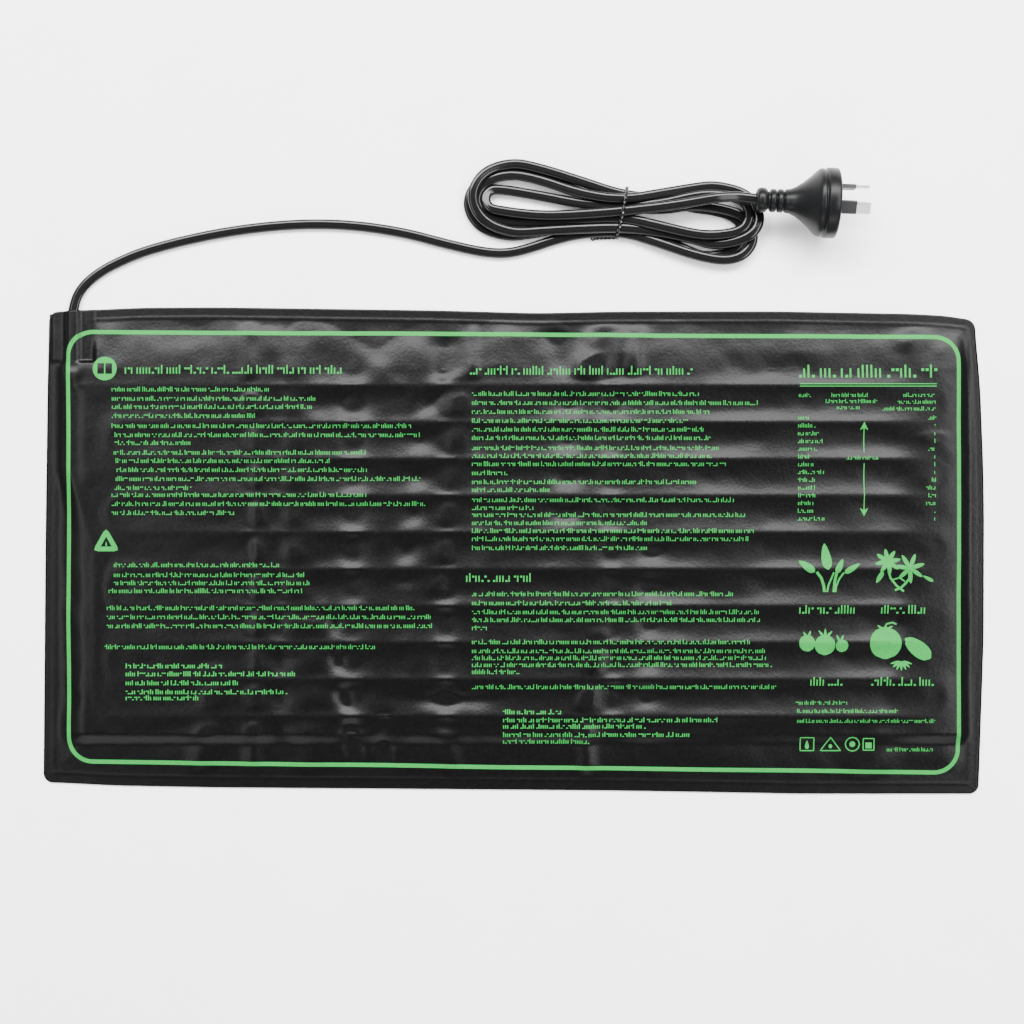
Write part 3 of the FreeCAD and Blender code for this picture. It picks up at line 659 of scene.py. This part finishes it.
def patch(left, right, columns=2):
    """A grid of plan points between two lines that have the same number of points."""
    share = np.linspace(0, 1, columns)
    left, right = np.array(left, float), np.array(right, float)
    return left[:, None, :] + share[None, :, None] * (right - left)[:, None, :]


def block(x0, x1, y0, y1):
    rows = np.linspace(y0, y1, 4)
    return patch([(x0, y) for y in rows], [(x1, y) for y in rows])


def refine(path, step):
    """The same path with points no further apart than the step."""
    made = [path[:1]]
    for start, end in zip(path, path[1:]):
        count = max(1, math.ceil(np.hypot(*(end - start)) / step))
        made.append(start + (end - start) * np.arange(1, count + 1)[:, None] / count)
    return np.concatenate(made)


def stroke(path, width, columns=3):
    """A line of ink of even width; a closed path repeats its first point at its end."""
    path = refine(np.array(path, float), 1.0)
    way = np.gradient(path, axis=0)
    if np.allclose(path[0], path[-1]):
        way[0] = way[-1] = path[1] - path[-2]
    way /= np.linalg.norm(way, axis=1)[:, None]
    aside = np.stack([-way[:, 1], way[:, 0]], -1) * width / 2
    return patch(path + aside, path - aside, columns)


def oval(x, y, half_x, half_y, lean=0.0, bite=0.0):
    """A filled oval, leaning anticlockwise by degrees; a bite narrows its far end to a leaf's point."""
    up = np.linspace(-0.995, 0.995, 11)
    wide = np.sqrt(1 - up ** 2) * (1 - bite * (up + 1) / 2)
    turn = math.radians(lean)
    sides = []
    for way in (-1, 1):
        u, v = way * wide * half_x, up * half_y
        sides.append(np.stack([x + u * math.cos(turn) - v * math.sin(turn),
                               y + u * math.sin(turn) + v * math.cos(turn)], -1))
    return patch(sides[0], sides[1], 4)


def arc(x, y, radius, start, end, steps=12):
    angles = np.radians(np.linspace(start, end, steps + 1))
    return [(x + radius * math.cos(a), y + radius * math.sin(a)) for a in angles]


def marks(y, x0, x1, size, seed, weight=0.45):
    """A line of plain bars and dots in groups, standing for small print; they spell nothing."""
    pick = np.random.default_rng(seed)
    made = []
    x = x0
    base = y - size * 0.6
    while x < x1 - size * 0.3:
        for _ in range(pick.integers(3, 10)):
            if x > x1 - size * 0.3:
                break
            if pick.random() < 0.35:
                low = base + size * pick.choice([0.0, 0.7])
                made.append(block(x, x + weight * 1.6, low, low + size * 0.3))
            else:
                tall = size * (1.4 if pick.random() < 0.25 else 1.0)
                made.append(block(x, x + weight, base, base + tall))
            x += weight + size * 0.27
        x += size * 0.4
    return made


def border_path():
    """The printed border's centre line: four slightly wandering sides and round corners."""
    left, right = BORDER_X
    radius = BORDER_CORNER_R
    corners = [(right - radius, BORDER_TOP[1] - radius, 90, 0),
               (right - radius, BORDER_BOTTOM[1] + radius, 0, -90),
               (left + radius, BORDER_BOTTOM[0] + radius, 270, 180),
               (left + radius, BORDER_TOP[0] - radius, 180, 90)]
    path = []
    for x, y, start, end in corners:
        turn = arc(x, y, radius, start, end)
        if path:
            path += side_points(path[-1], turn[0])
        path += turn
    path += side_points(path[-1], path[0])
    return path + [path[0]]


def side_points(start, end):
    """Points between two corners, one each 3 mm, wandering a little."""
    start, end = np.array(start), np.array(end)
    count = int(np.hypot(*(end - start)) / 3)
    share = np.arange(1, count)[:, None] / count
    points = start + share * (end - start)
    drift = 0.35 * noise(points[:, 0], points[:, 1], 70, 9) * np.sin(math.pi * share[:, 0])
    level = abs(end[0] - start[0]) > abs(end[1] - start[1])
    points[:, 1 if level else 0] += drift
    return [tuple(point) for point in points]


def text_marks():
    """Every line of marks: the columns, the headings, the table and the title."""
    small_lines = LEFT_LINES + [(y, MIDDLE_LEFT, x1) for y, x1 in MIDDLE_LINES]
    made = []
    for lines, size, seed, weight in ((small_lines, SMALL_X, 100, 0.45), (BOLD_LINES, BOLD_X, 200, 0.62),
                                      (HEADINGS, HEADING_X, 300, 0.75),
                                      (RIGHT_LINES, SMALL_X * 0.85, 400, 0.4)):
        for number, (y, x0, x1) in enumerate(lines):
            made += marks(y, x0, x1, size, seed + number, weight)
    for number, (width, value) in enumerate(zip(TABLE_WIDTHS, TABLE_VALUES)):
        y = TABLE_TOP - number * TABLE_PITCH
        made += marks(y, TABLE_LEFT, TABLE_LEFT + width, SMALL_X * 0.9, 500 + number)
        made += marks(y, TABLE_RIGHT - value, TABLE_RIGHT, SMALL_X * 0.9, 600 + number)
    y, x0, x1 = TITLE_LINE
    made += marks(y, x0, x1, TITLE_X, 700, 1.0)
    return made


def seedling_icon():
    return [
        oval(159.5, -8.6, 2.7, 5.2, 55, 0.5), oval(170.0, -3.2, 3.6, 7.2, 8, 0.6),
        oval(177.4, -8.4, 2.2, 4.2, -25, 0.6), oval(184.2, -9.6, 2.1, 4.9, -58, 0.6),
        stroke([(164.8, -11.6), (167.5, -15.0), (168.8, -19.0), (169.2, -22.6)], 1.5),
        stroke([(174.2, -11.8), (173.0, -15.0), (171.5, -18.6), (170.6, -22.6)], 1.0),
        stroke([(175.8, -11.6), (174.9, -16.0), (174.3, -22.6)], 1.5),
        stroke([(179.6, -12.0), (177.2, -15.4), (175.6, -19.5), (175.2, -22.6)], 1.0),
    ]


def flower_icon():
    made = []
    for x, y, petal, count, start in ((203.6, -6.0, 3.9, 8, 10), (215.5, -9.6, 4.6, 7, 30)):
        for step in range(count):
            lean = start + 360 * step / count
            turn = math.radians(lean)
            made.append(oval(x - petal * math.sin(turn), y + petal * math.cos(turn),
                             1.35, petal * 0.8, lean, 0.3))
        made.append(oval(x, y, 1.5, 1.5))
    return made + [
        oval(199.2, -14.6, 1.7, 3.6, 150, 0.5), oval(225.4, -15.2, 1.2, 3.2, 62, 0.5),
        stroke([(203.8, -11.0), (205.2, -15.0), (208.6, -19.2), (212.4, -22.2)], 1.2),
        stroke([(215.6, -14.6), (213.6, -17.6), (211.0, -20.2), (207.6, -21.6)], 1.2),
        stroke([(206.0, -16.0), (210.0, -14.8), (213.0, -16.8)], 0.8),
    ]


def fruit_icon():
    return [
        oval(159.6, -50.4, 4.3, 4.6, 12), oval(169.3, -51.4, 5.6, 5.6, 0),
        oval(178.6, -51.8, 3.4, 3.5, 0),
        oval(158.6, -45.8, 0.9, 1.9, 30, 0.6), oval(161.0, -45.4, 0.9, 1.9, -20, 0.6),
        oval(167.2, -45.0, 0.9, 2.0, 40, 0.6), oval(169.6, -44.6, 0.9, 2.2, 0, 0.6),
        oval(172.0, -45.2, 0.9, 2.0, -45, 0.6),
        oval(176.4, -47.4, 0.8, 1.7, 20, 0.6), oval(178.8, -47.4, 0.8, 1.7, -30, 0.6),
    ]


def vegetable_icon():
    made = [
        oval(202.4, -50.4, 8.6, 8.8, 0), oval(219.8, -53.2, 4.9, 8.8, 52, 0.25),
        stroke([(202.0, -42.4), (203.2, -40.0), (206.4, -39.2), (208.6, -40.2)], 0.9),
        oval(199.6, -41.8, 0.8, 1.8, 50, 0.5), oval(205.0, -42.0, 0.8, 1.8, -60, 0.5),
    ]
    for step in range(7):
        lean = 105 + 25 * step
        turn = math.radians(lean)
        made.append(oval(211.0 - 3.4 * math.sin(turn), -60.4 + 2.4 * math.cos(turn),
                         0.9, 2.6, lean, 0.5))
    return made


def small_icons():
    """Four made-up signs in a row, each an outline round a solid shape."""
    return [
        stroke([(156.2, -102.0), (163.6, -102.0), (163.6, -109.2), (156.2, -109.2),
                (156.2, -102.0)], 0.6),
        oval(159.9, -106.0, 1.5, 2.4, 0, 0.7),
        stroke([(167.2, -109.2), (172.7, -101.8), (178.2, -109.2), (167.2, -109.2)], 0.6),
        oval(172.7, -106.8, 1.0, 1.2),
        stroke(arc(184.6, -105.6, 3.8, 0, 360), 0.6), oval(184.6, -105.6, 1.6, 1.6),
        stroke([(190.4, -102.4), (196.2, -102.4), (196.2, -108.8), (190.4, -108.8),
                (190.4, -102.4)], 0.6),
        block(191.6, 195.0, -107.8, -104.6),
    ]


def page_icon():
    """A disc with an open page left clear in it, built as the ink round two clear panels."""
    x, y, radius = -222.6, 99.1, 6.5
    rows = np.linspace(-2.9, 2.9, 8)
    made = []
    for way in (-1, 1):
        made.append(patch([(x + way * 0.35, y + v) for v in rows], [(x, y + v) for v in rows], 2))
        rim = [(x + way * math.sqrt(radius ** 2 - v ** 2), y + v) for v in rows]
        made.append(patch([(x + way * 4.0, y + v) for v in rows], rim, 4))
        heights = np.linspace(2.9, radius - 0.05, 8) * way
        reach = np.sqrt(radius ** 2 - heights ** 2)
        made.append(patch(np.stack([x - reach, y + heights], -1),
                          np.stack([x + reach, y + heights], -1), 8))
    return made


def drop_icon():
    """A rounded triangle of ink line with a drop in it."""
    corners = [(-221.8, 10.2), (-216.6, 0.9), (-227.0, 0.9), (-221.8, 10.2)]
    return [stroke(corners, 2.6), oval(-221.8, 3.6, 0.6, 1.3, 0, 0.7)]


def rule_lines():
    """The two rules under the title and the double arrow in the table."""
    x, high, low = 190.7, 70.0, 18.8
    half, barb, notch, tip = 2.3, 4.4, 3.2, 0.1
    rules = [stroke([(along, y) for along in np.linspace(155.6, 230.0, 30)], 0.5)
             for y in (90.8, 89.5)]
    return rules + [
        stroke([(x, y) for y in np.linspace(high - 2, 53.5, 8)], 0.55),
        stroke([(x, y) for y in np.linspace(47.5, low + 2, 12)], 0.55),
        patch([(x - half, high - barb), (x - tip, high)], [(x, high - notch), (x, high)]),
        patch([(x, high - notch), (x, high)], [(x + half, high - barb), (x + tip, high)]),
        patch([(x - tip, low), (x - half, low + barb)], [(x, low), (x, low + notch)]),
        patch([(x, low), (x, low + notch)], [(x + tip, low), (x + half, low + barb)]),
    ]


def ink_object(name, patches, ink):
    """All these patches as one piece, lying on the film as thin raised ink."""
    sizes = [made.shape[0] * made.shape[1] for made in patches]
    plan = np.concatenate([made.reshape(-1, 2) for made in patches])
    level = film_height(plan[:, 0], plan[:, 1])
    points, faces = [], []
    start = done = 0
    for made, size in zip(patches, sizes):
        z = level[done:done + size].reshape(made.shape[:2])
        patch_points, patch_faces = shell(made[:, :, 0], made[:, :, 1], z + INK_RISE, z - INK_SINK)
        points.append(patch_points)
        faces.append(patch_faces + start)
        start += len(patch_points)
        done += size
    piece = mesh_object(name, np.concatenate(points) * MM, np.concatenate(faces), smooth=False)
    face_outwards(piece)
    piece.data.materials.append(ink)
    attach(piece, "root")
    return piece


def add_print(ink):
    border = ink_object("print_border", [stroke(border_path(), BORDER_WIDTH, 5)], ink)
    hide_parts("printed_border")
    ink_object("print_lines", text_marks(), ink)
    icons = (seedling_icon() + flower_icon() + fruit_icon() + vegetable_icon() + small_icons()
             + page_icon() + drop_icon() + rule_lines())
    ink_object("print_icons", icons, ink)


# ---- the lead ----

def station(number, place):
    return (STATION_X[place], PASS_Y[number][place], PASS_Z[number][place])


def end_loop(number):
    """Control points of one end loop, from just past the waist, out, round and back."""
    x, y, reach, first, last, squareness, heights = LOOPS[number]
    right = number % 2 == 0
    outward = (3, 4) if right else (1, 0)
    way = 1 if right else -1
    points = [station(number, place) for place in outward]
    for index, z in enumerate(heights):
        angle = math.pi * (index / (len(heights) - 1) - 0.5)
        half = first if angle < 0 else last
        spread = OUTSIDE * (squareness if index % 2 else 1.0)
        points.append((x + way * spread * reach * math.cos(angle),
                       y + way * spread * half * math.sin(angle), z))
    return points + [station(number + 1, place) for place in reversed(outward)]


def cord_points():
    points = LEAD_ROUTE + [station(0, 2)]
    for number in range(len(LOOPS)):
        points = points + end_loop(number) + [station(number + 1, 2)]
    return [Vector(point) * MM for point in points + TAIL_ROUTE]


def smooth_line(name, points, resolution):
    """Points along the NURBS spline that has these control points."""
    data = bpy.data.curves.new(name, "CURVE")
    data.dimensions = "3D"
    data.resolution_u = resolution
    spline = data.splines.new("NURBS")
    spline.points.add(len(points) - 1)
    for place, point in zip(spline.points, points):
        place.co = (*point, 1.0)
    spline.order_u = 3
    spline.use_endpoint_u = True
    holder = bpy.data.objects.new(name, data)
    mesh = bpy.data.meshes.new_from_object(holder)
    line = [v.co.copy() for v in mesh.vertices]
    bpy.data.meshes.remove(mesh)
    bpy.data.objects.remove(holder)
    bpy.data.curves.remove(data)
    return [line[0]] + [b for a, b in zip(line, line[1:]) if (b - a).length > 0.02 * MM]


def lead_section(steps=40):
    """The flat lead's section: a full oval with a faint groove between its two cores, on both sides."""
    section = []
    for index in range(steps):
        angle = 2 * math.pi * index / steps
        u = CORD_W / 2 * math.copysign(abs(math.cos(angle)) ** OVAL_POWER, math.cos(angle))
        v = CORD_T / 2 * math.copysign(abs(math.sin(angle)) ** OVAL_POWER, math.sin(angle))
        section.append((u, v * (1 - GROOVE * math.exp(-(u / (0.5 * MM)) ** 2))))
    return section


def sweep(name, line, section, across_at):
    """A tube of this section along a line, with closed ends; across_at gives its sideways direction."""
    points = []
    for index, place in enumerate(line):
        heading = (line[min(index + 1, len(line) - 1)] - line[max(index - 1, 0)]).normalized()
        across = across_at(index, heading)
        top = across.cross(heading)
        points += [place + across * u + top * v for u, v in section]
    piece = mesh_object(name, points, ring_faces(len(line), len(section)))
    face_outwards(piece)
    return piece


def tube(name, line, section):
    """A tube that stays level across."""
    return sweep(name, line, section, lambda index, heading: heading.cross(UP).normalized())


def add_lead(finishes, plug, tie):
    line = smooth_line("lead_line", cord_points(), 10)
    lead = tube("lead", line, lead_section())
    dress(lead, finishes["cord"], "cord_jacket", "cord_lead", "cord_hank", "cord_tail")


# ---- the tie ----

def join(pieces, name):
    """These meshes as one piece."""
    gathered = bmesh.new()
    for piece in pieces:
        gathered.from_mesh(piece.data)
    whole = bpy.data.meshes.new(name)
    gathered.to_mesh(whole)
    gathered.free()
    for piece in pieces:
        bpy.data.objects.remove(piece)
    whole.polygons.foreach_set("use_smooth", [True] * len(whole.polygons))
    joined = bpy.data.objects.new(name, whole)
    bpy.context.scene.collection.objects.link(joined)
    return joined


def tie_line():
    """The tie's loop in its own upright plane, closed, as points in metres."""
    lean = math.radians(TIE_LEAN)
    places = []
    for out, z in TIE_LOOP + TIE_LOOP[:1]:
        places.append(Vector((TIE_CENTRE[0] + out * math.sin(lean),
                              TIE_CENTRE[1] + out * math.cos(lean), z)) * MM)
    return smooth_line("tie_line", places, 12)


def ribbon_section(half_w, half_t):
    return [(half_w * math.cos(a) * MM, half_t * math.sin(a) * MM)
            for a in (2 * math.pi * step / 16 for step in range(16))]


def twist_along(line, turn_length, floor_z):
    """How far the ribbon has turned at each point: flat along the floor, and flat again at its end."""
    turns = [0.0]
    for a, b in zip(line, line[1:]):
        step = (b - a).length if b.z > floor_z else 0.0
        turns.append(turns[-1] + 2 * math.pi * step / turn_length)
    whole = math.pi * round(turns[-1] / math.pi)
    return [turn * whole / turns[-1] for turn in turns]


def ribbon(name, line, section, turns):
    """A twisted ribbon in the tie's own upright plane."""
    lean = math.radians(TIE_LEAN)
    sideways = Vector((math.cos(lean), -math.sin(lean), 0))
    return sweep(name, line, section,
                 lambda index, heading: Matrix.Rotation(turns[index], 3, heading) @ sideways)


def tail_line(strand):
    """One of the tail's two strands, which go round each other and splay at the end."""
    places = []
    for step in range(TAIL_STEPS):
        share = step / (TAIL_STEPS - 1)
        angle = 2 * math.pi * (TIE_TAIL_LENGTH / TAIL_TURN) * share + math.pi * strand
        apart = STRAND_OUT + TAIL_SPLAY * ramp(share, 0.82, 1.0)
        places.append(Vector((TIE_TAIL_FROM[0] - TIE_TAIL_LENGTH * share,
                              TIE_TAIL_FROM[1] - 0.5 * share + apart * math.cos(angle),
                              TAIL_Z + STRAND_OUT * math.sin(angle))) * MM)
    return places


def add_tie(finishes):
    line = tie_line()
    turns = twist_along(line, TIE_TWIST * MM, TIE_FLAT_BELOW * MM)
    parts = [ribbon("tie_loop", line, ribbon_section(TIE_HALF_W, TIE_HALF_T), turns)]
    for strand in (0, 1):
        parts.append(tube("tie_strand", tail_line(strand), ribbon_section(STRAND_R, STRAND_R)))
    tie = join(parts, "tie_twist")
    dress(tie, finishes["tie"], "tie_plastic", "twist_tie")
    return tie


# ---- the plug ----

def add_plug(finishes):
    yaw = math.radians(PLUG_YAW)
    axis = Vector((math.cos(yaw), math.sin(yaw), 0))
    side = Vector((-math.sin(yaw), math.cos(yaw), 0))
    start = Vector((*PLUG_ENTRY, PLUG_AXIS_Z))
    points = []
    for along_axis, radius in PLUG_PROFILE:
        for step in range(PLUG_STEPS):
            angle = 2 * math.pi * step / PLUG_STEPS
            outward = side * math.cos(angle) + UP * math.sin(angle)
            points.append((start + axis * along_axis + outward * radius) * MM)
    body = mesh_object("plug_shell", points, ring_faces(len(PLUG_PROFILE), PLUG_STEPS))
    face_outwards(body)
    dress(body, finishes["plug"], "plug_pvc", "plug_body")
    return body


# ---- camera, floor and light ----

def add_camera():
    data = bpy.data.cameras.new("camera")
    data.sensor_width = SENSOR_MM
    data.lens = SENSOR_MM * CAMERA_HEIGHT / VIEW_WIDTH
    data.clip_end = 50.0
    camera = bpy.data.objects.new("camera", data)
    camera.location = (VIEW_CENTRE[0], VIEW_CENTRE[1], CAMERA_HEIGHT)
    bpy.context.scene.collection.objects.link(camera)
    bpy.context.scene.camera = camera


def add_floor():
    corners = [(x * FLOOR_HALF, y * FLOOR_HALF, 0) for x, y in ((-1, -1), (1, -1), (1, 1), (-1, 1))]
    floor = mesh_object("floor", corners, [(0, 1, 2, 3)])
    floor.data.materials.append(finish("floor_white", (0.90, 0.90, 0.90), (0.92, 0.92, 0.92), 0.9,
                                       grain=30, relief=0.0, specular=0.1))


def add_light(name, place, size, radiance):
    """A soft box of this size at a place, facing the mat, with an even brightness."""
    data = bpy.data.lights.new(name, "AREA")
    data.shape = "RECTANGLE"
    data.size, data.size_y = size
    data.energy = radiance * math.pi * size[0] * size[1]
    light = bpy.data.objects.new(name, data)
    light.location = place
    light.rotation_mode = "QUATERNION"
    light.rotation_quaternion = (Vector(place) - Vector(LIGHT_AIM)).to_track_quat("Z", "Y")
    bpy.context.scene.collection.objects.link(light)


def add_world(strength):
    world = bpy.data.worlds.new("world")
    bpy.context.scene.world = world
    world.use_nodes = True
    background = world.node_tree.nodes["Background"]
    background.inputs["Color"].default_value = (1, 1, 1, 1)
    background.inputs["Strength"].default_value = strength


finishes = make_finishes()
add_camera()
add_floor()
for name, place, size, radiance in LIGHTS:
    add_light(name, place, size, radiance)
add_world(WORLD_STRENGTH)
add_films(finishes["film"])
add_entry_plate(finishes["film"])
add_inner_cover(finishes)
add_print(finishes["ink"])
add_lead(finishes, add_plug(finishes), add_tie(finishes))
dress_cad(finishes)
